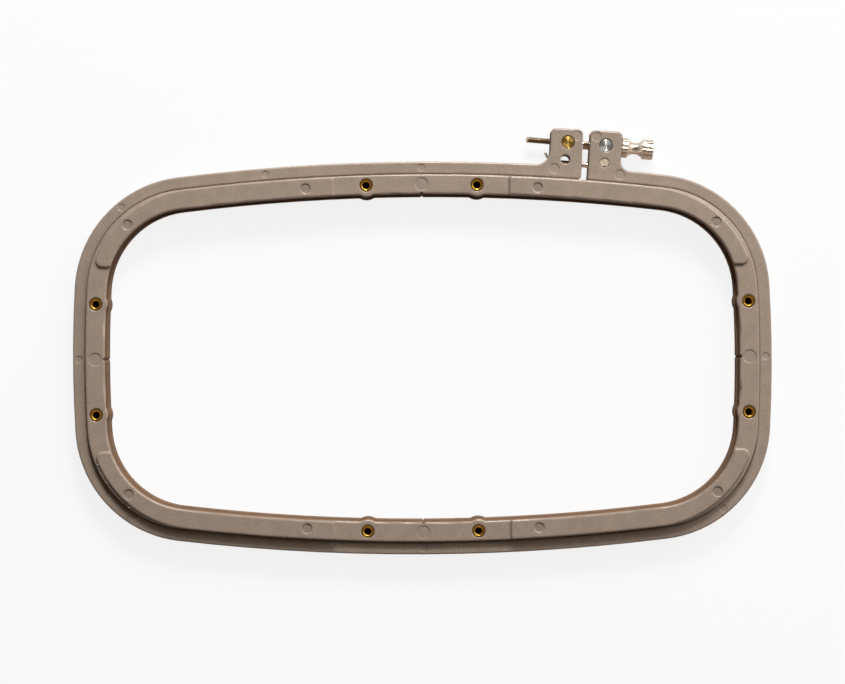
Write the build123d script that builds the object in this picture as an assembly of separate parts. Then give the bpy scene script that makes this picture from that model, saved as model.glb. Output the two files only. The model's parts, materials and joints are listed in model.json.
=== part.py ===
from build123d import *
import math
import os

# Embroidery hoop for a sewing field of 300 by 150 mm, in two moulded rings that nest with
# cloth between them. The outer ring is split, and a thumb screw draws its two ears together.
# The hoop lies flat: +X runs along its long sides, +Y towards the clamp, +Z up.
# Everything is drawn about the middle of the rings and moved at the end, so that the
# origin is the middle of the footprint. Lengths are in millimetres, angles in degrees.

overrun = 1.0                  # how far a cut reaches past the faces that it goes through

# Outline that both rings follow: four bowed sides joined by tangent corners
half_length = 168.5            # middle of the rings to the outside of a short side
half_width = 94.75             # middle of the rings to the outside of a long side
long_side_radius = 990.0       # bow of a long side
short_side_radius = 622.0      # bow of a short side
corner_radius = 56.6

# Outer ring
outer_wall = 6.0
outer_height = 10.0
outer_edge_round = 0.9

# Inner ring
ring_gap = 0.3                 # room between the rings for cloth, all round
inner_wall = 9.55              # width of the rim at its top
inner_height = 12.8
inner_edge_round = 0.9
ledge_width = 0.85             # the lower half of the bore steps in by this much
ledge_height = 5.8
ledge_round = 0.3
foot_round = 0.5

# Raised pads on the four corners of the inner ring
pad_height = 1.2
pad_from_long_middle = 42.2    # along X, where a pad starts on a long side
pad_from_short_middle = 44.3   # along Y, where it ends on a short side
pad_inset_long = 0.25          # step between the rim's edge and the pad, on a long side
pad_inset_short = 1.3          # and on a short side
pad_corner_radius = 52.3
pad_square_round = 1.2         # plan corner of the end on a long side
pad_end_round = 3.2            # outer plan corner of the end on a short side
pad_bore_round = 4.5           # and its corner at the bore
pad_bore_overlap = 1.5         # the pad's plan is drawn this far past the bore, then cut back

# Threaded inserts in bosses, two to a side
insert_pitch = 53.3
insert_radius = 3.175
insert_length = 9.5
insert_fit = 0.02
insert_thread_radius = 1.62    # minor radius of an M4 thread
insert_mouth_round = 0.95
insert_neck_radius = 2.8       # waist between the two knurled bands
insert_neck_length = 2.6
insert_hole_spare = 0.5        # hole below the insert
boss_wall = 2.5
boss_stand = 1.375             # how far a boss stands into the bore, past the middle of its side
boss_foot_round = 2.5

# Witness notches in the bore at the middle of each side
notch_depth = 1.1
notch_angle = 100.0
notch_lean = 6.0               # its root comes out towards the foot of the bore

# Round ejector marks, sunk into the top faces
mark_depth = 0.2
pad_mark_depth = 0.35
side_mark_radius = 3.2
pad_mark_radius = 2.4
rim_mark_radius = 1.75
side_mark_from_edge = 4.8
pad_mark_from_middle = 55.8
pad_mark_angle = 47.5          # place of a corner's mark, about the corner's centre
rim_mark_from_middle = 75.3
rim_mark_angle = 51.2

# Clamp: two ears on the outer ring, drawn together by a screw
clamp_along = 78.7             # from the middle of the long side to the split, along its arc
screw_stand_off = 11.26        # screw's axis outside the ring
screw_lean = 0.55
ear_gap = 3.4
ear_width = 15.6
ear_corner_round = 2.4
nut_setback = 7.15             # nut's axis behind the split
nut_ear_top = 6.6              # ear's end above the nut's axis
nut_ear_lean = 2.3
nut_ear_foot_round = 6.5
nut_ear_lead = 2.0             # rounded corner at the bore, beside the split
pin_setback = 7.8
pin_ear_top = 7.1
pin_ear_lean = 0.9
pin_ear_foot_round = 4.8
pin_ear_lead = 0.9
ear_mark_radius = 2.4
ear_mark_inset = 3.1           # from the split and from the end of the ear
nut_foot_mark_inset = 2.4      # from the side of the ear
nut_foot_mark_depth = 1.6      # inside the ring's outline
pin_foot_mark_inset = 0.2
pin_foot_mark_depth = 2.3

# Pins that the screw goes through
pin_radius = 3.175
pin_fit = 0.05
pin_recess = 0.15              # end faces below the ear's faces
pin_end_chamfer = 0.25
pin_bore_clearance = 0.15

# Thumb screw
screw_radius = 1.5             # M3
screw_running_clearance = 0.05
screw_tail = 11.85             # past the nut's ear
screw_tip_chamfer = 0.6
screw_hole_radius = 1.9        # through the ears
flange_play = 0.15
flange_length = 2.85
waist_length = 7.0
head_length = 5.35
knob_radius = 4.85
waist_radius = 2.8
waist_shoulder = 4.3           # radius where the waist meets flange and head
knob_edge_round = 0.35
flute_count = 10
flute_radius = 0.8
flute_depth = 0.45

# Clip that holds the screw in its ear
clip_length = 2.65
clip_wall = 0.95
clip_fit = 0.02
clip_play = 0.15
clip_arc = 210.0

# Guide rod beside the screw, fixed in the pin's ear and free to slide in the nut's ear
rod_radius = 1.35
rod_drop = 9.83                # from the screw's axis
rod_running_clearance = 0.08
rod_fit = 0.02
rod_end_past_plug = 0.6
rod_end_past_stop = 1.6
window_radius = 2.27
window_drop = 8.35
nut_window_shift = 0.54
plug_fit = 0.02
plug_recess = 0.25

# Stop pin through the free end of the guide rod, in a counterbore of the ear's foot
stop_radius = 0.6
stop_fit = 0.02
stop_lean = 34.5
stop_from_ear_side = 1.0       # inside the side of the ear
stop_long_leg = 5.27
stop_short_leg = 2.2
stop_pocket_clearance = 0.8


def meeting(first, reach_first, second, reach_second):
    """The points at given distances from two centres: left and right, seen from the first."""
    base = second - first
    along = (reach_first**2 - reach_second**2 + base.length**2) / (2 * base.length)
    across = math.sqrt(reach_first**2 - along**2)
    direction = base.normalized()
    foot = first + direction * along
    left = Vector(-direction.Y, direction.X) * across
    return foot + left, foot - left


def beyond(start, through, reach):
    """Point at a distance from the start, on the line through another point."""
    return start + (through - start).normalized() * reach


def short_arc(centre, start, end):
    """Arc about a centre, the shorter way round from start to end."""
    middle = beyond(centre, (start + end) * 0.5, (start - centre).length)
    return ThreePointArc(start, middle, end)


def wall_run(walls, first, start, last, end):
    """Arcs from a point on one wall of a quarter outline to a point on the same or a later one."""
    arcs = []
    for number in range(first, last + 1):
        centre, wall_start, wall_end = walls[number]
        arcs.append(short_arc(centre, start if number == first else wall_start,
                              end if number == last else wall_end))
    return arcs


def boss_foot(walls, own, boss, boss_radius, hand):
    """Rounding at a foot of a boss: the wall that it touches, its centre and the point there.

    The foot is on the boss's own wall or on the corner's, where nothing may stand out of it.
    """
    corner = 1
    for number in (own, corner):
        centre, start, end = walls[number]
        wall_reach = (start - centre).length
        if (boss - centre).length > wall_reach + boss_radius:
            return None
        rounding = meeting(centre, wall_reach - boss_foot_round,
                           boss, boss_radius + boss_foot_round)[hand]
        touch = beyond(centre, rounding, wall_reach)
        if start.X <= touch.X <= end.X:
            break
    return number, rounding, touch


long_centre = Vector(0, half_width - long_side_radius)
short_centre = Vector(half_length - short_side_radius, 0)


def corner_centre(long_inset, short_inset, corner):
    """Centre of the corner arc where X and Y are positive."""
    to_long = long_side_radius - long_inset - corner
    to_short = short_side_radius - short_inset - corner
    return meeting(long_centre, to_long, short_centre, to_short)[1]


def hoop_plan(long_inset, short_inset, corner, boss_radius=None):
    """Area inside the hoop's outline, its sides set in, with bosses standing in or without."""
    centre = corner_centre(long_inset, short_inset, corner)
    far_middle = Vector(0, half_width - long_inset)
    corner_start = beyond(long_centre, centre, long_side_radius - long_inset)
    corner_end = beyond(short_centre, centre, short_side_radius - short_inset)
    right_middle = Vector(half_length - short_inset, 0)
    walls = [(long_centre, far_middle, corner_start), (centre, corner_start, corner_end),
             (short_centre, corner_end, right_middle)]
    quarter = []
    wall, place = 0, far_middle
    if boss_radius:
        far_boss = Vector(insert_pitch / 2, half_width - insert_inset)
        right_boss = Vector(half_length - insert_inset, insert_pitch / 2)
        for own, boss in ((0, far_boss), (2, right_boss)):
            feet = [boss_foot(walls, own, boss, boss_radius, hand) for hand in (0, 1)]
            if None in feet:
                continue
            (left_wall, left, left_touch), (right_wall, right, right_touch) = feet
            left_boss = beyond(boss, left, boss_radius)
            right_boss_point = beyond(boss, right, boss_radius)
            quarter += wall_run(walls, wall, place, left_wall, left_touch)
            quarter += [short_arc(left, left_touch, left_boss),
                        short_arc(boss, left_boss, right_boss_point),
                        short_arc(right, right_boss_point, right_touch)]
            wall, place = right_wall, right_touch
    quarter += wall_run(walls, wall, place, 2, right_middle)
    far_half = quarter + [mirror(arc, Plane.YZ) for arc in quarter]
    return make_face(far_half + [mirror(arc, Plane.XZ) for arc in far_half])


def even_plan(inset, boss_radius=None):
    """Area inside the outline, set in by the same distance all round."""
    return hoop_plan(inset, inset, corner_radius - inset, boss_radius)


def round_corner(plan, place, x, y, radius):
    """Round the corner of a plan that is nearest to a point of a placed frame."""
    point = (place * Pos(x, y)).position
    return fillet(plan.vertices().sort_by_distance(point)[0], radius)


def top_edges(solid):
    return solid.faces().sort_by(Axis.Z)[-1].edges()


def bottom_edges(solid):
    return solid.faces().sort_by(Axis.Z)[0].edges()


def marks(places, radius, depth, top):
    """Shallow round recesses in a face at a height."""
    recess = Cylinder(radius, depth + overrun, align=(Align.CENTER, Align.CENTER, Align.MIN))
    return [Pos(x, y, top - depth) * recess for x, y in places]


def four_quarters(x, y):
    return [(x, y), (-x, y), (-x, -y), (x, -y)]


# Insets of the inner ring's faces and inserts from the outside of the hoop
rim_inset = outer_wall + ring_gap
bore_inset = rim_inset + inner_wall
insert_inset = bore_inset + boss_stand - boss_wall - insert_radius

# Frames of the clamp, at the height of the ring's underside
clamp_angle = math.degrees(clamp_along / long_side_radius)
split_place = (Pos(Y=half_width - long_side_radius) * Rot(Z=-clamp_angle)
               * Pos(Y=long_side_radius))
screw_line = split_place * Pos(Y=screw_stand_off) * Rot(Z=-screw_lean)
nut_x = -(ear_gap / 2 + nut_setback)
pin_x = ear_gap / 2 + pin_setback
nut_spot = screw_line * Pos(X=nut_x)
pin_spot = screw_line * Pos(X=pin_x)
nut_ear = nut_spot * Rot(Z=nut_ear_lean)
pin_ear = pin_spot * Rot(Z=pin_ear_lean)
nut_ear_side = nut_x + nut_setback - ear_width
pin_ear_side = pin_x - pin_setback + ear_width
mid_height = Pos(Z=outer_height / 2)
along_screw = Rot(Y=90)
nut_window = screw_line * Pos(nut_x - nut_window_shift, -window_drop)
pin_window = screw_line * Pos(pin_x, -window_drop)
stop_x = nut_ear_side + stop_from_ear_side
rod_line = screw_line * Pos(Y=-rod_drop)


def ear_plan(ear, side, setback, top):
    """Plan of an ear, from inside the ring's wall to its free end."""
    low = -(screw_stand_off + outer_wall / 2)
    middle = side * (ear_width / 2 - setback)
    return ear * Pos(middle, (top + low) / 2) * Rectangle(ear_width, top - low)


def split_plan():
    """The slot between the two ears and through the ring's wall."""
    low = -(screw_stand_off + outer_wall + overrun)
    high = max(nut_ear_top, pin_ear_top) + overrun
    points = [
        (nut_ear * Pos(nut_setback, low)).position,
        (nut_ear * Pos(nut_setback, high)).position,
        (pin_ear * Pos(-pin_setback, high)).position,
        (pin_ear * Pos(-pin_setback, low)).position,
    ]
    return make_face(Polyline(*points, close=True))


def make_outer_ring():
    plan = even_plan(0) - even_plan(outer_wall)
    plan += ear_plan(nut_ear, -1, nut_setback, nut_ear_top)
    plan += ear_plan(pin_ear, 1, pin_setback, pin_ear_top)
    plan -= split_plan()
    bore = -(screw_stand_off + outer_wall)
    nut_back = nut_setback - ear_width
    pin_back = ear_width - pin_setback
    for ear, x, y, radius in (
        (nut_ear, nut_back, nut_ear_top, ear_corner_round),
        (nut_ear, nut_setback, nut_ear_top, ear_corner_round),
        (pin_ear, -pin_setback, pin_ear_top, ear_corner_round),
        (pin_ear, pin_back, pin_ear_top, ear_corner_round),
        (nut_ear, nut_back, -screw_stand_off, nut_ear_foot_round),
        (pin_ear, pin_back, -screw_stand_off, pin_ear_foot_round),
        (nut_ear, nut_setback, bore, nut_ear_lead),
        (pin_ear, -pin_setback, bore, pin_ear_lead),
    ):
        plan = round_corner(plan, ear, x, y, radius)
    ring = extrude(plan, outer_height)
    ring = fillet(top_edges(ring) + bottom_edges(ring), outer_edge_round)

    through = outer_height + 2 * overrun
    pin_hole = Cylinder(pin_radius + pin_fit, through)
    window = Cylinder(window_radius, through)
    for spot, hole in ((nut_spot, pin_hole), (pin_spot, pin_hole),
                       (nut_window, window), (pin_window, window)):
        ring -= mid_height * spot * hole
    ring -= mid_height * screw_line * along_screw * Cylinder(
        screw_hole_radius, 2 * (ear_width + ear_gap))
    sliding = rod_radius + rod_running_clearance
    sliding_length = ear_width + ear_gap
    ring -= mid_height * rod_line * Pos(X=-sliding_length / 2) * along_screw * Cylinder(
        sliding, sliding_length)
    fixed_length = pin_x + window_radius + rod_end_past_plug
    ring -= mid_height * rod_line * Pos(X=fixed_length / 2) * along_screw * Cylinder(
        rod_radius + rod_fit, fixed_length)
    leg_reach = stop_short_leg * math.sin(math.radians(stop_lean)) + stop_radius
    pocket_end = stop_x + leg_reach + stop_pocket_clearance
    pocket_start = nut_ear_side - nut_ear_foot_round - overrun
    ring -= mid_height * rod_line * Pos(X=(pocket_start + pocket_end) / 2) * along_screw * Cylinder(
        stop_short_leg + stop_pocket_clearance, pocket_end - pocket_start)

    rim_middle = outer_wall / 2
    centre = corner_centre(0, 0, corner_radius)
    reach = corner_radius - rim_middle
    turn = math.radians(rim_mark_angle)
    corner_x = centre.X + reach * math.cos(turn)
    corner_y = centre.Y + reach * math.sin(turn)
    drop = long_side_radius - math.sqrt(long_side_radius**2 - rim_mark_from_middle**2)
    side_y = half_width - drop - rim_middle
    places = [
        (0, half_width - rim_middle), (0, rim_middle - half_width),
        (half_length - rim_middle, 0), (rim_middle - half_length, 0),
        (-corner_x, corner_y), (corner_x, -corner_y),
        (-rim_mark_from_middle, side_y), (-rim_mark_from_middle, -side_y),
        (rim_mark_from_middle, -side_y),
    ]
    ring -= marks(places, rim_mark_radius, mark_depth, outer_height)
    ear_places = [
        nut_ear * Pos(nut_setback - ear_mark_inset, nut_ear_top - ear_mark_inset),
        pin_ear * Pos(ear_mark_inset - pin_setback, pin_ear_top - ear_mark_inset),
        nut_ear * Pos(nut_back + nut_foot_mark_inset, -screw_stand_off - nut_foot_mark_depth),
        pin_ear * Pos(pin_back - pin_foot_mark_inset, -screw_stand_off - pin_foot_mark_depth),
    ]
    ear_points = [(place.position.X, place.position.Y) for place in ear_places]
    ring -= marks(ear_points, ear_mark_radius, mark_depth, outer_height)
    return ring


def insert_places():
    long_y = half_width - insert_inset
    short_x = half_length - insert_inset
    return (four_quarters(insert_pitch / 2, long_y) + four_quarters(short_x, insert_pitch / 2))


def make_pad():
    """Raised pad wrapped round the corner of the inner ring where X and Y are positive."""
    outside = hoop_plan(rim_inset + pad_inset_long, rim_inset + pad_inset_short, pad_corner_radius)
    band = outside - even_plan(bore_inset + pad_bore_overlap)
    quarter = Pos(pad_from_long_middle, pad_from_short_middle) * Rectangle(
        half_length, half_width, align=(Align.MIN, Align.MIN))
    plan = band & quarter
    ends = plan.vertices()
    square_end = ends.group_by(Axis.X)[0].sort_by(Axis.Y)
    round_end = ends.group_by(Axis.Y)[0].sort_by(Axis.X)
    for corner, radius in ((square_end[-1], pad_square_round), (round_end[-1], pad_end_round),
                           (round_end[0], pad_bore_round)):
        nearest = plan.vertices().sort_by_distance(corner.center())[0]
        plan = fillet(nearest, radius)
    plan -= even_plan(bore_inset)
    root = inner_height - 2 * inner_edge_round
    pad = Pos(Z=root) * extrude(plan, inner_height + pad_height - root)
    return fillet(top_edges(pad), inner_edge_round)


def notch(reach, turn):
    """Wedge that nicks the bore at the middle of a side, leaning out at its foot."""
    depth = notch_depth + overrun + bore_inset
    half_mouth = depth * math.tan(math.radians(notch_angle / 2))
    wedge = make_face(Polyline((0, 0), (-depth, half_mouth), (-depth, -half_mouth), close=True))
    tool = extrude(wedge, 2 * inner_height, both=True)
    root = reach - bore_inset + notch_depth
    return Rot(Z=turn) * Pos(root, 0, inner_height) * Rot(Y=notch_lean) * tool


def make_inner_ring():
    boss_radius = insert_radius + boss_wall
    rim = even_plan(rim_inset)
    upper = extrude(rim - even_plan(bore_inset, boss_radius), inner_height - ledge_height)
    upper = Pos(Z=ledge_height) * fillet(top_edges(upper), inner_edge_round)
    corner = upper & Box(half_length, half_width, inner_height,
                         align=(Align.MIN, Align.MIN, Align.MIN))
    corner += make_pad()
    far_half = corner + mirror(corner, Plane.YZ)
    upper = far_half + mirror(far_half, Plane.XZ)
    lower = extrude(rim - even_plan(bore_inset + ledge_width, boss_radius + ledge_width),
                    ledge_height)
    lower = fillet(bottom_edges(lower), foot_round)
    ledge = lower.faces().sort_by(Axis.Z)[-1].inner_wires()[0].edges()
    lower = fillet(ledge, ledge_round)
    ring = upper + lower

    hole_depth = insert_length + insert_hole_spare
    hole = Cylinder(insert_radius + insert_fit, hole_depth + overrun,
                    align=(Align.CENTER, Align.CENTER, Align.MIN))
    ring -= [Pos(x, y, inner_height - hole_depth) * hole for x, y in insert_places()]
    ring -= [notch(half_length, turn) for turn in (0, 180)]
    ring -= [notch(half_width, turn) for turn in (90, 270)]

    short_x = half_length - rim_inset - side_mark_from_edge
    long_y = half_width - rim_inset - side_mark_from_edge
    side_places = [(short_x, 0), (-short_x, 0), (0, long_y), (0, -long_y)]
    ring -= marks(side_places, side_mark_radius, mark_depth, inner_height)
    centre = corner_centre(0, 0, corner_radius)
    reach = corner_radius - insert_inset
    turn = math.radians(pad_mark_angle)
    drop = long_side_radius - math.sqrt(long_side_radius**2 - pad_mark_from_middle**2)
    pad_places = four_quarters(pad_mark_from_middle, half_width - drop - insert_inset)
    pad_places += four_quarters(centre.X + reach * math.cos(turn),
                                centre.Y + reach * math.sin(turn))
    ring -= marks(pad_places, pad_mark_radius, pad_mark_depth, inner_height + pad_height)
    return ring


def make_insert(x, y):
    """Brass insert: two bands with a neck between, and a rounded mouth."""
    band = (insert_length - insert_neck_length) / 2
    lip = Vector(insert_thread_radius + insert_mouth_round, insert_length - insert_mouth_round)
    lip_top = Vector(lip.X, insert_length)
    lip_foot = Vector(insert_thread_radius, lip.Y)
    wall = Polyline(
        lip_foot,
        (insert_thread_radius, 0),
        (insert_radius, 0),
        (insert_radius, band),
        (insert_neck_radius, band),
        (insert_neck_radius, insert_length - band),
        (insert_radius, insert_length - band),
        (insert_radius, insert_length),
        lip_top,
    )
    section = make_face([wall, short_arc(lip, lip_top, lip_foot)])
    body = revolve(Plane.XZ * section, Axis.Z)
    return Pos(x, y, inner_height - insert_length) * body


def make_cross_pin(spot, bore_radius):
    """Upright pin in an ear, with a bore across it for the screw."""
    pin = Cylinder(pin_radius, outer_height - 2 * pin_recess)
    pin = chamfer(top_edges(pin) + bottom_edges(pin), pin_end_chamfer)
    pin -= along_screw * Cylinder(bore_radius, 2 * (pin_radius + overrun))
    return mid_height * spot * pin


def make_thumb_screw():
    """Knob, flange and shank turned from one bar, drawn as half a section along X."""
    tip = nut_ear_side - screw_tail
    flange = pin_ear_side + flange_play
    waist = flange + flange_length
    head = waist + waist_length
    end = head + head_length
    outline = [
        Polyline((tip, 0), (tip, screw_radius - screw_tip_chamfer),
                 (tip + screw_tip_chamfer, screw_radius), (flange, screw_radius),
                 (flange, knob_radius), (waist, knob_radius), (waist, waist_shoulder)),
        ThreePointArc((waist, waist_shoulder), ((waist + head) / 2, waist_radius),
                      (head, waist_shoulder)),
        Polyline((head, waist_shoulder), (head, knob_radius), (end, knob_radius),
                 (end, 0), (tip, 0)),
    ]
    section = make_face(outline)
    rims = [v for v in section.vertices() if v.Y > (waist_shoulder + knob_radius) / 2]
    section = fillet(rims, knob_edge_round)
    screw = revolve(section, Axis.X)
    flute = Cylinder(flute_radius, end - flange + 2 * overrun)
    place = Pos((flange + end) / 2, 0, knob_radius + flute_radius - flute_depth) * along_screw
    for index in range(flute_count):
        screw -= Rot(X=index * 360 / flute_count) * place * flute
    return mid_height * screw_line * screw


def make_retaining_clip():
    """Open collar snapped on the shank, its mouth towards the free end of the ears."""
    inner = screw_radius + clip_fit
    outer = inner + clip_wall
    opening = 360 - clip_arc
    ring = Circle(outer) - Circle(inner)
    half_mouth = (outer + overrun) * math.tan(math.radians(opening / 2))
    mouth = make_face(Polyline((0, 0), (half_mouth, outer + overrun),
                               (-half_mouth, outer + overrun), close=True))
    collar = extrude(ring - mouth, clip_length)
    start = ear_gap / 2 - clip_play - clip_length
    return mid_height * screw_line * Pos(X=start) * along_screw * collar


def rod_end():
    return stop_x - rod_end_past_stop


def stop_place():
    """The stop pin's own axis as local Y, crossing the rod's axis at the origin."""
    return mid_height * rod_line * Pos(X=stop_x) * Rot(Z=stop_lean)


def make_guide_rod():
    right = pin_x + window_radius + rod_end_past_plug
    length = right - rod_end()
    rod = Cylinder(rod_radius, length)
    rod = chamfer(rod.edges().filter_by(GeomType.CIRCLE), rod_radius / 5)
    rod = mid_height * rod_line * Pos(X=(right + rod_end()) / 2) * along_screw * rod
    return rod - stop_place() * Rot(X=90) * Cylinder(stop_radius + stop_fit, 4 * rod_radius)


def make_stop_pin():
    length = stop_long_leg + stop_short_leg
    pin = Cylinder(stop_radius, length)
    pin = fillet(pin.edges().filter_by(GeomType.CIRCLE), stop_radius / 2)
    return stop_place() * Pos(Y=(stop_long_leg - stop_short_leg) / 2) * Rot(X=90) * pin


def make_rod_plug():
    """Hardened adhesive in the cross hole of the pin's ear, round the rod."""
    plug = mid_height * pin_window * Cylinder(window_radius - plug_fit,
                                              outer_height - 2 * plug_recess)
    right = pin_x + window_radius + rod_end_past_plug
    bar = Pos(X=right / 2) * along_screw * Cylinder(rod_radius + plug_fit, right)
    return plug - mid_height * rod_line * bar


def insert_names():
    return [
        "insert_far_right", "insert_far_left", "insert_near_left", "insert_near_right",
        "insert_right_far", "insert_left_far", "insert_left_near", "insert_right_near",
    ]


def make_hoop():
    hoop = {
        "outer_ring": make_outer_ring(),
        "inner_ring": make_inner_ring(),
        "barrel_nut": make_cross_pin(nut_spot, screw_radius + screw_running_clearance),
        "trunnion_pin": make_cross_pin(pin_spot, screw_radius + pin_bore_clearance),
        "thumb_screw": make_thumb_screw(),
        "retaining_clip": make_retaining_clip(),
        "guide_rod": make_guide_rod(),
        "stop_pin": make_stop_pin(),
        "rod_plug": make_rod_plug(),
    }
    for name, (x, y) in zip(insert_names(), insert_places()):
        hoop[name] = make_insert(x, y)
    return hoop


hoop = make_hoop()
footprint = Compound(list(hoop.values())).bounding_box()
to_origin = Pos(-footprint.center().X, -footprint.center().Y, -footprint.min.Z)
os.makedirs("parts", exist_ok=True)
for name, piece in hoop.items():
    export_step(to_origin * piece, f"parts/{name}.step")
print("origin moved by", to_origin.position)
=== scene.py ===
import bpy
import bmesh
import json
import math
from mathutils import Matrix, Vector, noise


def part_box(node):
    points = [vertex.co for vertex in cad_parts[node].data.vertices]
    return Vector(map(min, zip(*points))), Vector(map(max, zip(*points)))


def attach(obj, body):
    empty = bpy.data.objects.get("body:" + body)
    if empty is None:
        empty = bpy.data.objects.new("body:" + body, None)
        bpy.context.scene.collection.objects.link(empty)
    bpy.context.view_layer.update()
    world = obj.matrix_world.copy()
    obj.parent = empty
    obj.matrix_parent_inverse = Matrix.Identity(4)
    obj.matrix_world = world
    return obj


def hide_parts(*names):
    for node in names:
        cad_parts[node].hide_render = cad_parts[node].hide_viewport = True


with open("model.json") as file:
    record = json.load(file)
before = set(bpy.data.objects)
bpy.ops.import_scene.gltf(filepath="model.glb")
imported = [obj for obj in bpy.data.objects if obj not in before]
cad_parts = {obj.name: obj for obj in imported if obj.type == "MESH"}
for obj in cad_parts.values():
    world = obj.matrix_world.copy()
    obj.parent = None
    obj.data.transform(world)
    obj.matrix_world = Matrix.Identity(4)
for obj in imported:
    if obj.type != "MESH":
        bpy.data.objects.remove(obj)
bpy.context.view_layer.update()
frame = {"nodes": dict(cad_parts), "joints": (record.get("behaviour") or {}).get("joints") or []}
nodes = frame["nodes"]
MM = 0.001


# Outer ring
# One injection moulding in a taupe thermoplastic, split at the clamp, with its two ears.
# Its faces have the fine satin grain of a blasted mould, and the corners are lightly rubbed.
class Link:
    """A shader socket that takes part in Python expressions."""

    def __init__(self, tree, socket):
        self.tree = tree
        self.socket = socket

    def make(self, kind, settings=None, out=0, **inputs):
        """Any node: its settings first, then its sockets by name or by number as _0, _1."""
        node = self.tree.nodes.new(kind)
        for name, value in (settings or {}).items():
            setattr(node, name, value)
        for name, value in inputs.items():
            key = int(name[1:]) if name[0] == "_" else name.replace("_", " ")
            if isinstance(value, Link):
                self.tree.links.new(value.socket, node.inputs[key])
            else:
                node.inputs[key].default_value = value
        return Link(self.tree, node.outputs[out])

    def reckon(self, operation, *values):
        """A math node with these values, which are numbers or links."""
        numbers = {f"_{place}": value for place, value in enumerate(values)}
        return self.make("ShaderNodeMath", {"operation": operation}, **numbers)

    def curve(self, operation):
        """A math operation on this number alone."""
        return self.reckon(operation, self)

    def __add__(self, other):
        return self.reckon("ADD", self, other)

    def __sub__(self, other):
        return self.reckon("SUBTRACT", self, other)

    def __rsub__(self, other):
        return self.reckon("SUBTRACT", other, self)

    def __mul__(self, other):
        return self.reckon("MULTIPLY", self, other)

    def __truediv__(self, other):
        return self.reckon("DIVIDE", self, other)

    def clamp(self):
        """This number, kept between 0 and 1."""
        return self.make("ShaderNodeClamp", _0=self, _1=0.0, _2=1.0)

    def step(self, low, high):
        """0 below low, 1 above high, smooth between."""
        return self.make("ShaderNodeMapRange", {"interpolation_type": "SMOOTHSTEP"},
                         _0=self, _1=low, _2=high, _3=0.0, _4=1.0)

    def mix(self, first, second):
        """Colour that goes from first to second as this goes from 0 to 1."""
        return self.make("ShaderNodeMix", {"data_type": "RGBA"}, out=2,
                         _0=self, _6=first, _7=second)

    def blend(self, kind, other):
        """This colour and another, put together by one of the mix node's blend types."""
        return self.make("ShaderNodeMix", {"data_type": "RGBA", "blend_type": kind}, out=2,
                         _0=1.0, _6=self, _7=other)

    def vector(self, operation, other, out=0):
        """A vector operation on this and another."""
        return self.make("ShaderNodeVectorMath", {"operation": operation}, out=out,
                         _0=self, _1=other)

    def scaled(self, direction):
        """A direction, made as long as this number says."""
        return self.make("ShaderNodeVectorMath", {"operation": "SCALE"}, _0=direction, _3=self)

    def unit(self):
        """This vector at a length of 1."""
        return self.make("ShaderNodeVectorMath", {"operation": "NORMALIZE"}, _0=self)

    def part(self, axis):
        """One part of this vector: 0 for X, 1 for Y, 2 for Z."""
        return self.make("ShaderNodeSeparateXYZ", out=axis, _0=self)

    def noise(self, scale, detail=2.0):
        """Noise at a scale in cycles per metre, on this place."""
        return self.make("ShaderNodeTexNoise", Vector=self, Scale=scale, Detail=detail)


def new_finish(name):
    """A material, links to an object's own coordinates and normal, and the Principled shader."""
    material = bpy.data.materials.new(name)
    material.use_nodes = True
    tree = material.node_tree
    given = tree.nodes.new("ShaderNodeTexCoord").outputs
    return (material, Link(tree, given["Object"]), Link(tree, given["Normal"]),
            tree.nodes["Principled BSDF"])


def feed(shader, **values):
    """Sets the shader's sockets to numbers, colours or links."""
    for name, value in values.items():
        socket = shader.inputs[name.replace("_", " ")]
        if isinstance(value, Link):
            value.tree.links.new(value.socket, socket)
        else:
            socket.default_value = value


def srgb(red, green, blue):
    """Linear colour of an 8-bit display colour."""
    def line(value):
        value = value / 255
        return value / 12.92 if value <= 0.04045 else ((value + 0.055) / 1.055) ** 2.4
    return (line(red), line(green), line(blue), 1.0)


def dust(place, specks, scratches):
    """How far each spot is a speck of dust or a light scratch, from 0 to 1."""
    speck_core, speck_rim = 0.12 * MM, 0.38 * MM
    scratch_core, scratch_rim, scratch_strength = 0.03 * MM, 0.16 * MM, 0.45
    marks = place.make("ShaderNodeValue") * 0.0
    for spot in specks:
        away = place.vector("DISTANCE", Vector(spot) * MM, out=1)
        marks = marks + (1.0 - away.step(speck_core, speck_rim))
    for begin, stop in scratches:
        first, last = Vector(begin) * MM, Vector(stop) * MM
        run = last - first
        local = place.vector("SUBTRACT", first)
        share = (local.vector("DOT_PRODUCT", run, out=1) * (1 / run.length_squared)).clamp()
        away = local.vector("DISTANCE", share.scaled(run), out=1)
        marks = marks + (1.0 - away.step(scratch_core, scratch_rim)) * scratch_strength
    return marks.clamp()


def inner_walls(place, facing, top):
    """1 on the walls that look to the hoop's middle and on all below a rim at the top, where the
    plastic gets its painted shade.

    A face looks outward where its normal runs with the line from the middle to its place.
    """
    shade_top, shade_foot = (top - 0.5) * MM, (top - 1.3) * MM
    outward_from, outward_full = 4 * MM, 20 * MM
    up = facing.part(2)
    steep = (1.0 - up.curve("ABSOLUTE")).step(0.45, 0.95)
    low = (1.0 - place.part(2).step(shade_foot, shade_top)) * up.step(-0.5, 0.0)
    outward = facing.vector("DOT_PRODUCT", place.vector("MULTIPLY", (1, 1, 0)), out=1)
    outward = outward.step(outward_from, outward_full)
    return steep.reckon("MAXIMUM", steep, low) * (1.0 - outward)


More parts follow.
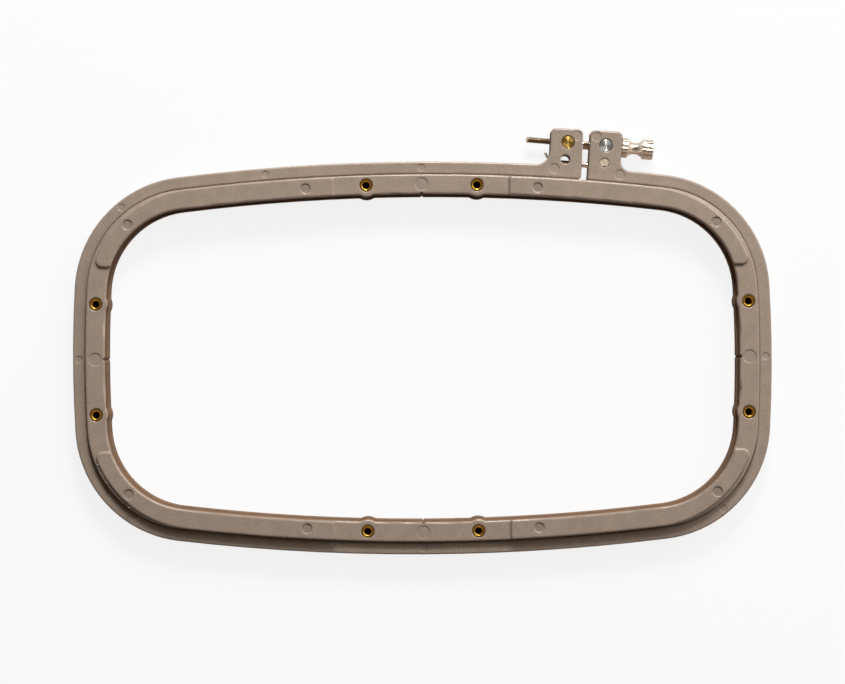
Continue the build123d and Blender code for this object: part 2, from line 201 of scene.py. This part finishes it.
def moulded_plastic(name, shade, top, discs=(), specks=(), scratches=()):
    """Satin taupe thermoplastic, clouded and finely grained, with specks of dust and scratches.

    Walls that face the middle, and faces below the rim at the top, are chalky and carry
    painted shade: a browner, darker tint for the shade that falls there. The edges are
    rubbed soft, and flat faces at some heights, the floors of the ejector marks, are darker.
    """
    cloud_scale, blush_scale, sheen_scale, grain_scale = 160.0, 420.0, 900.0, 5200.0
    cloud_shares = (0.975, 1.02)
    blush_tint, painted_wall_shade = (1.015, 0.99, 0.985, 1.0), (0.66, 0.54, 0.44, 1.0)
    dust_colour, dust_cover = srgb(206, 192, 174), 0.6
    roughness, sheen_change = 0.24, 0.06
    edge_radius, grain_depth, grain_strength = 1.0 * MM, 0.02 * MM, 0.3
    chalk_cover = 0.9

    material, place, facing, shader = new_finish(name)
    dim, light = [srgb(*[part * share for part in shade]) for share in cloud_shares]
    colour = place.noise(cloud_scale, 3.0).step(0.3, 0.7).mix(dim, light)
    blush = place.noise(blush_scale).step(0.35, 0.65)
    colour = blush.mix(colour, colour.blend("MULTIPLY", blush_tint))
    wall = inner_walls(place, facing, top)
    # Painted shade: walls facing the middle and faces below the rim are tinted browner and darker.
    colour = wall.mix(colour, colour.blend("MULTIPLY", painted_wall_shade))
    level_ground = facing.part(2).step(0.98, 0.995)
    # Flat faces at these heights, the floors of the ejector marks, are tinted darker.
    for level, share in discs:
        off = (place.part(2) - level * MM).curve("ABSOLUTE")
        disc = (1.0 - off.step(0.02 * MM, 0.06 * MM)) * level_ground
        colour = disc.mix(colour, colour.blend("MULTIPLY", (share, share, share * 1.02, 1.0)))
    colour = (dust(place, specks, scratches) * dust_cover).mix(colour, dust_colour)

    soft = place.make("ShaderNodeBevel", {"samples": 16}, Radius=edge_radius)
    soft = wall.mix(soft, place.make("ShaderNodeNewGeometry", out="Normal")).unit()
    bump = place.make("ShaderNodeBump", Strength=grain_strength, Distance=grain_depth,
                      Height=place.noise(grain_scale), Normal=soft)
    feed(shader, Base_Color=colour, Normal=bump,
         Roughness=place.noise(sheen_scale) * sheen_change + roughness)
    chalky = place.make("ShaderNodeBsdfPrincipled", Base_Color=colour, Roughness=1.0,
                        Specular_IOR_Level=0.0, Normal=bump)
    both = place.make("ShaderNodeMixShader", _0=wall * chalk_cover,
                      _1=Link(place.tree, shader.outputs["BSDF"]), _2=chalky)
    output = place.tree.nodes["Material Output"]
    place.tree.links.new(both.socket, output.inputs["Surface"])
    return material


def dress(name, material):
    """Gives a node of the frame its finish."""
    slots = nodes[name].data.materials
    slots.clear()
    slots.append(material)


outer_top = 10.0
dress("outer_ring", moulded_plastic("outer plastic", (159, 144, 130), outer_top,
                                    specks=[(-145.3, 63.8, outer_top)]))


# Inner ring
# The second moulding, in the same plastic. It stands a little higher than the outer ring and
# carries four raised pads, eight bosses for the threaded inserts and small witness notches.
inner_top, pad_top = 12.8, 14.0
inner_specks = [(x, y, pad_top) for x, y in
                [(-133.4, -80.9), (-129.1, -81.6), (-116.5, -84.6), (-91.9, -84.0)]]
inner_scratches = [((7.4, 75.7, inner_top), (12.6, 74.4, inner_top)),
                   ((10.2, 75.9, inner_top), (20.9, 74.2, inner_top))]
inner_discs = [(12.6, 0.96), (13.65, 0.84)]
dress("inner_ring", moulded_plastic("inner plastic", (161, 145, 131), inner_top, inner_discs,
                                    inner_specks, inner_scratches))


# Flash on a pad
# Three small nibs of flash stand on the outer edge of the near left pad, where the mould's
# inserts met.
def flash_nib(name, centre, reach):
    """Small smooth lump: a sphere squeezed flat and pulled about by noise."""
    lump_share, lump_pace = 0.25, 1.7
    work = bmesh.new()
    bmesh.ops.create_icosphere(work, subdivisions=3, radius=1.0)
    for vertex in work.verts:
        lumpy = 1.0 + lump_share * noise.noise(vertex.co * lump_pace + Vector(centre))
        vertex.co = Vector((c * r * lumpy + p for c, r, p in zip(vertex.co, reach, centre))) * MM
    mesh = bpy.data.meshes.new(name)
    work.to_mesh(mesh)
    work.free()
    mesh.polygons.foreach_set("use_smooth", [True] * len(mesh.polygons))
    nib = bpy.data.objects.new(name, mesh)
    bpy.context.scene.collection.objects.link(nib)
    mesh.materials.append(nodes["inner_ring"].data.materials[0])
    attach(nib, "inner")


nib_height, nib_reach = 13.5, (0.5, 0.45, 0.45)
nib_places = [(-156.3, -58.5), (-151.8, -67.1), (-141.2, -79.0)]
for number, (x, y) in enumerate(nib_places, 1):
    flash_nib(f"pad_flash_{number}", (x, y, nib_height), nib_reach)


# Threaded inserts
# Eight turned brass inserts, pressed into the bosses and flush with the rim. Their mouths are
# rounded, and each bore has a real M4 thread.
def turned_metal(name, colour, dark, roughness, pitch, centre, axis, slope):
    """Metal whose lathe rings tilt its surface to and fro, up to a slope, about an axis."""
    stain_scale, stain_detail, stain_dulling = 900.0, 3.0, 0.06
    material, place, facing, shader = new_finish(name)
    local = place.vector("SUBTRACT", centre)
    along = local.vector("DOT_PRODUCT", axis, out=1)
    radial = local.vector("SUBTRACT", along.scaled(axis))
    reach = radial.make("ShaderNodeVectorMath", {"operation": "LENGTH"}, out=1, _0=radial)
    spin = radial.vector("CROSS_PRODUCT", axis).unit()
    lean = facing.vector("CROSS_PRODUCT", spin)
    swing = (((reach + along) / pitch).curve("FRACT") - 0.5) * (2 * slope)
    ringed = facing.vector("ADD", swing.scaled(lean))
    ringed = ringed.make("ShaderNodeVectorTransform", {
        "vector_type": "NORMAL", "convert_from": "OBJECT", "convert_to": "WORLD"}, _0=ringed)
    stain = place.noise(stain_scale, stain_detail).step(0.35, 0.75)
    feed(shader, Base_Color=stain.mix(colour, dark), Metallic=1.0, Normal=ringed,
         Roughness=stain * stain_dulling + roughness)
    return material


def lathe_frame(point, axis):
    """Matrix whose X lies along a lathe's axis and whose origin is a point on it."""
    along = Vector(axis).normalized()
    across = Vector((0, 1, 0)) if abs(along.z) > 0.9 else Vector((0, 0, 1))
    side = across.cross(along).normalized()
    turn = Matrix((along, side, along.cross(side))).transposed().to_4x4()
    return Matrix.Translation(point) @ turn


def turned_form(work, outline, sides, groove=None):
    """Adds a form turned about X from points of place and radius, with grooves by angle."""
    rings = []
    for along, radius in outline:
        ring = []
        for side in range(sides if radius > 0 else 1):
            turn = math.tau * side / sides
            cut = groove(along, turn) if groove and radius > 0 else 0.0
            reach = radius - cut
            ring.append(work.verts.new((along, reach * math.cos(turn), reach * math.sin(turn))))
        rings.append(ring)
    for low, high in zip(rings, rings[1:]):
        for side in range(sides):
            after = (side + 1) % sides
            corners = [low[side % len(low)], high[side % len(high)],
                       high[after % len(high)], low[after % len(low)]]
            unique = list(dict.fromkeys(corners))
            if len(unique) > 2:
                work.faces.new(unique)


def rounded(points, radius, steps=4):
    """The same outline with an arc at every corner inside it."""
    outline = [points[0]]
    for before, corner, after in zip(points, points[1:], points[2:]):
        back, ahead = [Vector(p) - Vector(corner) for p in (before, after)]
        half = back.angle(ahead) / 2
        cut = min(radius / math.tan(half), back.length / 2, ahead.length / 2)
        start = Vector(corner) + back.normalized() * cut
        end = Vector(corner) + ahead.normalized() * cut
        for step in range(steps + 1):
            t = step / steps
            outline.append(tuple(start * (1 - t) ** 2 + Vector(corner) * 2 * t * (1 - t)
                                 + end * t ** 2))
    return outline + [points[-1]]


MERGE = 0.0001 * MM              # points of a mesh nearer than this become one


def thread_tree():
    """Geometry Nodes: a V thread about X, one long grid rolled up, with ends that fade out."""
    tree = bpy.data.node_groups.new("thread", "GeometryNodeTree")
    kinds = {"Start": "Float", "Length": "Float", "Pitch": "Float", "Crest": "Float",
             "Root": "Float", "Rows": "Int", "Sides": "Int", "Finish": "Material"}
    for name, kind in kinds.items():
        tree.interface.new_socket(name=name, in_out="INPUT", socket_type="NodeSocket" + kind)
    tree.interface.new_socket(name="Geometry", in_out="OUTPUT",
                              socket_type="NodeSocketGeometry")
    given = tree.nodes.new("NodeGroupInput")
    value = {name: Link(tree, given.outputs[name]) for name in kinds}
    grid = value["Rows"].make("GeometryNodeMeshGrid", Size_X=1.0, Size_Y=1.0,
                              Vertices_X=value["Rows"], Vertices_Y=value["Sides"])
    place = grid.make("GeometryNodeInputPosition")
    along = (place.part(0) + 0.5) * value["Length"]
    round_share = place.part(1) + 0.5
    turns = along / value["Pitch"]
    steepness, flat_root = 2.6, 0.15
    wave = (((turns + round_share).curve("FRACT") - 0.5).curve("ABSOLUTE") * steepness
            - flat_root).clamp()
    fade = turns.clamp() * ((value["Length"] - along) / value["Pitch"]).clamp()
    radius = value["Crest"] + (value["Root"] - value["Crest"]) * (1.0 - wave) * fade
    angle = round_share * math.tau
    rolled = place.make("ShaderNodeCombineXYZ", _0=value["Start"] + along,
                        _1=radius * angle.curve("COSINE"), _2=radius * angle.curve("SINE"))
    grid = grid.make("GeometryNodeSetPosition", Geometry=grid, Position=rolled)
    grid = grid.make("GeometryNodeMergeByDistance", Geometry=grid, Distance=MERGE)
    grid = grid.make("GeometryNodeSetShadeSmooth", Geometry=grid)
    grid = grid.make("GeometryNodeSetMaterial", Geometry=grid, Material=value["Finish"])
    result = tree.nodes.new("NodeGroupOutput")
    tree.links.new(grid.socket, result.inputs["Geometry"])
    return tree


def grown_mesh(tree, **values):
    """Mesh that a Geometry Nodes tree makes from values for its inputs."""
    host = bpy.data.objects.new("grower", bpy.data.meshes.new("grower"))
    bpy.context.scene.collection.objects.link(host)
    modifier = host.modifiers.new("grow", "NODES")
    modifier.node_group = tree
    for item in tree.interface.items_tree:
        if item.in_out == "INPUT":
            modifier[item.identifier] = values[item.name]
    host.update_tag()
    graph = bpy.context.evaluated_depsgraph_get()
    mesh = bpy.data.meshes.new_from_object(host.evaluated_get(graph))
    bpy.data.objects.remove(host)
    return mesh


def turned_piece(name, work, thread_mesh, place, materials, body, node):
    """Joins a turned form and its thread, sets them in place and lets them stand for a node.

    The thread takes the last of the materials.
    """
    sharp_from = math.radians(35)
    mesh = bpy.data.meshes.new(name)
    for face in work.faces:
        face.smooth = True
    count = len(work.faces)
    work.from_mesh(thread_mesh)
    work.faces.ensure_lookup_table()
    for face in work.faces[count:]:
        face.material_index = len(materials) - 1
        face.smooth = True
    bmesh.ops.remove_doubles(work, verts=work.verts, dist=MERGE)
    bmesh.ops.recalc_face_normals(work, faces=work.faces)
    work.transform(place)
    work.to_mesh(mesh)
    work.free()
    for material in materials:
        mesh.materials.append(material)
    mesh.set_sharp_from_angle(angle=sharp_from)
    piece = bpy.data.objects.new(name, mesh)
    bpy.context.scene.collection.objects.link(piece)
    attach(piece, body)
    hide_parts(node)


UP = Vector((0, 0, 1))
thread = thread_tree()
insert_names = [name for name in nodes if name.startswith("insert_")]
for name in insert_names:
    low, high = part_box(name)
    centre = Vector(((low[0] + high[0]) / 2, (low[1] + high[1]) / 2, low[2]))
    radius = (high[0] - low[0]) / 2
    length = high[2] - low[2]
    minor, major, pitch, lip = 1.62 * MM, 2.0 * MM, 0.7 * MM, 0.95 * MM
    neck, neck_length, lip_steps = 2.8 * MM, 2.6 * MM, 10
    band = (length - neck_length) / 2
    wall = [(0.0, minor), (0.0, radius), (band, radius), (band, neck),
            (length - band, neck), (length - band, radius), (length, radius)]
    mouth = [(length - lip * (1 - math.cos(turn)), minor + lip * (1 - math.sin(turn)))
             for turn in [math.radians(90 * step / lip_steps) for step in range(lip_steps + 1)]]
    brass = turned_metal(name + " brass", srgb(178, 136, 58), srgb(152, 108, 38),
                         roughness=0.26, pitch=0.12 * MM, centre=centre, axis=UP, slope=0.12)
    bore = grown_mesh(thread, Start=0.0, Length=length - lip, Pitch=pitch, Crest=minor,
                      Root=major, Rows=99, Sides=33, Finish=brass)
    work = bmesh.new()
    turned_form(work, wall + mouth, 64)
    turned_piece("threaded_" + name, work, bore, lathe_frame(centre, UP), [brass], "inner", name)


# Cross pins
# Two turned pins stand in the ears: brass, tapped across, on the left, and plain steel on the
# right. The ends show the rings of a facing tool.
def node_centre(name):
    """The middle of a node's box."""
    low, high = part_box(name)
    return (Vector(low) + Vector(high)) / 2


facing_pitch, facing_slope = 0.06 * MM, 0.57
dress("barrel_nut", turned_metal(
    "nut brass", srgb(152, 122, 66), srgb(130, 100, 48), roughness=0.27, pitch=facing_pitch,
    centre=node_centre("barrel_nut"), axis=UP, slope=facing_slope))
dress("trunnion_pin", turned_metal(
    "pin steel", srgb(152, 150, 148), srgb(138, 136, 133), roughness=0.29, pitch=facing_pitch,
    centre=node_centre("trunnion_pin"), axis=UP, slope=facing_slope))


# Thumb screw
# Turned from one bar and nickel plated: knob and flange with soft flutes, a waist between
# them, and a shank whose left half has an M3 thread.
screw_joint = next(joint for joint in frame["joints"] if joint["name"] == "thumb_screw_turn")
screw_axis = Vector(screw_joint["axis"]).normalized()
screw_point = Vector(screw_joint["pos_m"])


def thumb_screw():
    """The whole screw along its axis, from the tip of the thread to the knob's end."""
    reaches = [(vertex.co - screw_point).dot(screw_axis)
               for vertex in nodes["thumb_screw"].data.vertices]
    tip, end = min(reaches), max(reaches)
    shank, root, knob, waist_radius, shoulder = [size * MM for size in (1.5, 1.2, 4.85, 2.8, 4.3)]
    knob_length, waist_length, flange_length = [size * MM for size in (5.35, 7.0, 2.85)]
    thread_pitch, rows_per_turn, waist_steps = 0.5 * MM, 8, 16
    head = end - knob_length
    waist = head - waist_length
    flange = waist - flange_length
    nut = (node_centre("barrel_nut") - screw_point).dot(screw_axis)
    thread_start = tip + 0.9 * MM
    thread_end = nut + 3.2 * MM
    tip_form = [(tip, 0.0), (tip + 0.03 * MM, 0.55 * MM), (tip + 0.22 * MM, 1.0 * MM),
                (tip + 0.55 * MM, 1.34 * MM), (thread_start, shank)]
    waist_form = []
    for step in range(1, waist_steps):
        bow = (2 * step / waist_steps - 1) ** 2
        waist_form.append((waist + (head - waist) * step / waist_steps,
                           waist_radius + (shoulder - waist_radius) * bow))
    left = rounded([(thread_end, shank), (flange, shank), (flange, knob), (waist, knob),
                    (waist, shoulder)], 0.4 * MM)
    right = rounded([(head, shoulder), (head, knob), (end, knob), (end, 0.0)], 0.55 * MM)

    def flute(along, turn):
        """Shallow grooves along flange and knob, spread evenly, with rounded flanks."""
        count, depth, width_share = 10, 0.42 * MM, 0.42
        if along < flange or waist < along < head:
            return 0.0
        off = abs((turn * count / math.tau) % 1.0 - 0.5) * 2
        return depth * (0.5 + 0.5 * math.cos(math.pi * min(1.0, off / width_share)))

    nickel = turned_metal("screw nickel", srgb(216, 199, 184), srgb(198, 178, 160), roughness=0.20,
                          pitch=0.14 * MM, centre=screw_point, axis=screw_axis, slope=0.10)
    # Painted shade: the threaded part's nickel is darker, for the shade in the thread's grooves.
    shaded_thread_nickel = turned_metal("thread nickel", srgb(158, 138, 116), srgb(122, 102, 82), roughness=0.34,
                        pitch=0.10 * MM, centre=screw_point, axis=screw_axis, slope=0.08)
    rows = round((thread_end - thread_start) / thread_pitch * rows_per_turn)
    turns = grown_mesh(thread, Start=thread_start, Length=thread_end - thread_start,
                       Pitch=thread_pitch, Crest=shank, Root=root, Rows=rows, Sides=33,
                       Finish=shaded_thread_nickel)
    work = bmesh.new()
    turned_form(work, left + waist_form + right, 160, flute)
    turned_form(work, tip_form, 32)
    turned_piece("knurled_thumb_screw", work, turns, lathe_frame(screw_point, screw_axis),
                 [nickel, shaded_thread_nickel], "screw", "thumb_screw")


thumb_screw()


# Retaining clip
# Small collar of spring steel, snapped on the shank against the right ear.
dress("retaining_clip", turned_metal(
    "clip steel", srgb(150, 128, 108), srgb(120, 98, 78), roughness=0.30, pitch=0.2 * MM,
    centre=screw_point, axis=screw_axis, slope=0.15))


# Guide rod and its stop pin
# A ground rod glued into the right ear slides in the left ear. A thin pin through its free
# end stops it in a pocket at the ear's foot.
dress("guide_rod", turned_metal(
    "rod steel", srgb(214, 192, 174), srgb(192, 168, 150), roughness=0.20, pitch=0.15 * MM,
    centre=node_centre("guide_rod"), axis=screw_axis, slope=0.08))
dress("stop_pin", turned_metal(
    "stop steel", srgb(184, 178, 156), srgb(160, 154, 132), roughness=0.45, pitch=0.2 * MM,
    centre=node_centre("stop_pin"), axis=screw_axis, slope=0.05))


# Adhesive plug
# Hardened adhesive poured into the cross hole of the right ear to lock the rod. Its skin is
# lumpy, and it has shrunk from the hole's left side in small pits.
def adhesive_plug():
    """The lump of adhesive: a round plug with a lumpy skin, and its finish."""
    even_shrink, left_shrink, pit_pace = 0.10 * MM, 0.45 * MM, 4.5
    sides, rings, edge_radius = 72, 8, 0.25 * MM
    swell_height, swell_pace, rim_drop = 0.28 * MM, 0.9, 0.12 * MM

    material, place, _, shader = new_finish("adhesive")
    lumps = place.noise(1500.0, 4.0)
    bump = place.make("ShaderNodeBump", Strength=1.0, Distance=0.12 * MM, Height=lumps)
    colour = lumps.step(0.35, 0.65).mix(srgb(182, 162, 140), srgb(206, 188, 166))
    feed(shader, Base_Color=colour, Roughness=place.noise(2400.0) * 0.2 + 0.35, Normal=bump)

    low, high = [Vector(corner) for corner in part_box("rod_plug")]
    centre = (low + high) / 2
    radius = (high.x - low.x) / 2

    def shrinkage(turn):
        """How far the rim has shrunk: most on the left, in pits."""
        left = max(0.0, -math.sin(turn))
        rim = Vector((math.cos(turn), math.sin(turn), 0.3))
        pit = max(0.0, noise.noise(rim * pit_pace))
        return even_shrink + left_shrink * left * (0.4 + pit * 2.4)

    half = (high.z - low.z) / 2
    end = [radius * step / rings for step in range(rings)]
    brim = radius * (rings - 0.5) / rings
    outline = [(-half, reach) for reach in end]
    outline += rounded([(-half, brim), (-half, radius), (half, radius), (half, brim)],
                       edge_radius)
    outline += [(half, reach) for reach in reversed(end)]
    work = bmesh.new()
    turned_form(work, outline, sides)
    for vertex in work.verts:
        reach = math.hypot(vertex.co.y, vertex.co.z)
        turn = math.atan2(vertex.co.z, vertex.co.y)
        if reach > 0:
            share = 1 - shrinkage(turn) / radius * (reach / radius) ** 2
            vertex.co.y *= share
            vertex.co.z *= share
        if abs(vertex.co.x) > half * 0.9:
            swell = noise.noise(vertex.co / MM * swell_pace) * swell_height
            swell -= rim_drop * (reach / radius) ** 4
            vertex.co.x += math.copysign(swell, vertex.co.x)
    bmesh.ops.recalc_face_normals(work, faces=work.faces)
    work.transform(lathe_frame(centre, UP))
    mesh = bpy.data.meshes.new("adhesive_plug")
    work.to_mesh(mesh)
    work.free()
    mesh.polygons.foreach_set("use_smooth", [True] * len(mesh.polygons))
    mesh.materials.append(material)
    plug = bpy.data.objects.new("adhesive_plug", mesh)
    bpy.context.scene.collection.objects.link(plug)
    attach(plug, "outer")
    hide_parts("rod_plug")


adhesive_plug()


# Floor, light and camera
# The hoop lies on a pale sweep that curves up far away. A small soft light on the far side and a
# large one to the right of it light the hoop, and two warm ones fill the shadows a little.
def seen_rays(tree):
    """Links that are 1 on camera rays, and on any ray that shows the backdrop to the eye."""
    path = tree.nodes.new("ShaderNodeLightPath")
    camera, glossy, clear = [Link(tree, path.outputs[f"Is {kind} Ray"])
                             for kind in ("Camera", "Glossy", "Transmission")]
    return camera, (camera + glossy + clear).clamp()


def backdrop():
    """A flat disc that curves up into a low wall, as one turned mesh."""
    flat, rise, sides, steps, drop = 5.0, 1.2, 96, 8, 0.05 * MM
    outline = [(0.0, 0.0), (flat, 0.0)]
    for step in range(1, steps + 1):
        turn = math.radians(90 * step / steps)
        outline.append((flat + rise * math.sin(turn), rise * (1 - math.cos(turn))))
    points = [(0.0, 0.0, -drop)]
    faces = []
    for reach, height in outline[1:]:
        for side in range(sides):
            turn = math.tau * side / sides
            points.append((reach * math.cos(turn), reach * math.sin(turn), height - drop))
    for side in range(sides):
        after = (side + 1) % sides
        faces.append((0, 1 + side, 1 + after))
        for ring in range(len(outline) - 2):
            low, high = 1 + ring * sides, 1 + (ring + 1) * sides
            faces.append((low + side, high + side, high + after, low + after))
    mesh = bpy.data.meshes.new("backdrop")
    mesh.from_pydata(points, [], faces)
    mesh.polygons.foreach_set("use_smooth", [True] * len(mesh.polygons))
    obj = bpy.data.objects.new("backdrop", mesh)
    bpy.context.scene.collection.objects.link(obj)
    return obj


floor = backdrop()
floor_material = bpy.data.materials.new("backdrop paper")
floor_material.use_nodes = True
tree = floor_material.node_tree
tree.nodes.clear()
output = tree.nodes.new("ShaderNodeOutputMaterial")
camera_ray, seen = seen_rays(tree)
bounce = camera_ray.make("ShaderNodeBsdfDiffuse", Color=(0.32, 0.18, 0.07, 1.0))
paper = camera_ray.make("ShaderNodeBsdfDiffuse", Color=(0.9, 0.9, 0.9, 1.0))
glow = camera_ray.make("ShaderNodeEmission", Color=(1.0, 1.0, 1.0, 1.0), Strength=1.0)
glow_share = 0.86                      # the rest is paper, which keeps the hoop's shadow
white = camera_ray.make("ShaderNodeMixShader", _0=glow_share, _1=paper, _2=glow)
both = camera_ray.make("ShaderNodeMixShader", _0=seen, _1=bounce, _2=white)
# From below, the paper can be seen through.
below = camera_ray * camera_ray.make("ShaderNodeNewGeometry", out="Backfacing")
clear = camera_ray.make("ShaderNodeBsdfTransparent")
both = camera_ray.make("ShaderNodeMixShader", _0=below, _1=both, _2=clear)
tree.links.new(both.socket, output.inputs["Surface"])
floor.data.materials.append(floor_material)

world = bpy.data.worlds.new("studio")
bpy.context.scene.world = world
world.use_nodes = True
tree = world.node_tree
camera_ray, seen = seen_rays(tree)
direction = camera_ray.make("ShaderNodeTexCoord", out="Generated")
horizon, zenith = (0.9, 0.88, 0.86, 1.0), (0.17, 0.16, 0.15, 1.0)
dim_air = (0.035, 0.026, 0.018, 1.0)
shown = direction.part(2).curve("ABSOLUTE").step(0.25, 0.95).mix(horizon, zenith)
air = seen.mix(dim_air, shown)
tree.links.new(air.socket, tree.nodes["Background"].inputs["Color"])


def soft_light(name, azimuth, elevation, distance, size, watts, colour):
    """Round lamp that looks at the hoop's middle. Azimuth 0 is +Y, and it turns towards +X."""
    turn, lift = math.radians(azimuth), math.radians(elevation)
    toward = Vector((math.sin(turn) * math.cos(lift), math.cos(turn) * math.cos(lift),
                     math.sin(lift)))
    data = bpy.data.lights.new(name, "AREA")
    data.shape = "DISK"
    data.size = size
    data.energy = watts
    data.color = colour
    obj = bpy.data.objects.new(name, data)
    obj.location = toward * distance
    obj.rotation_mode = "QUATERNION"
    obj.rotation_quaternion = toward.to_track_quat("Z", "Y")
    bpy.context.scene.collection.objects.link(obj)


soft_light("window", azimuth=5, elevation=33, distance=1.6, size=0.5, watts=26.0,
           colour=(1.0, 0.98, 0.96))
soft_light("window side", azimuth=46, elevation=34, distance=2.4, size=1.9, watts=32.0,
           colour=(0.98, 0.99, 1.0))
soft_light("right fill", azimuth=90, elevation=33, distance=1.6, size=0.8, watts=1.1,
           colour=(1.0, 0.8, 0.6))
soft_light("near fill", azimuth=180, elevation=58, distance=1.6, size=0.9, watts=0.6,
           colour=(1.0, 0.65, 0.38))

# The camera looks straight down from a little over a metre, turned by the photo's small roll.
camera_place = (0.09 * MM, -0.18 * MM, 1.080)
camera_lens = 94.6
camera_roll = -0.285
camera_data = bpy.data.cameras.new("camera")
camera_data.sensor_width = 36.0
camera_data.lens = camera_lens
camera = bpy.data.objects.new("camera", camera_data)
camera.location = camera_place
camera.rotation_euler = (0, 0, math.radians(camera_roll))
bpy.context.scene.collection.objects.link(camera)
bpy.context.scene.camera = camera
bpy.context.scene.view_settings.view_transform = "Standard"
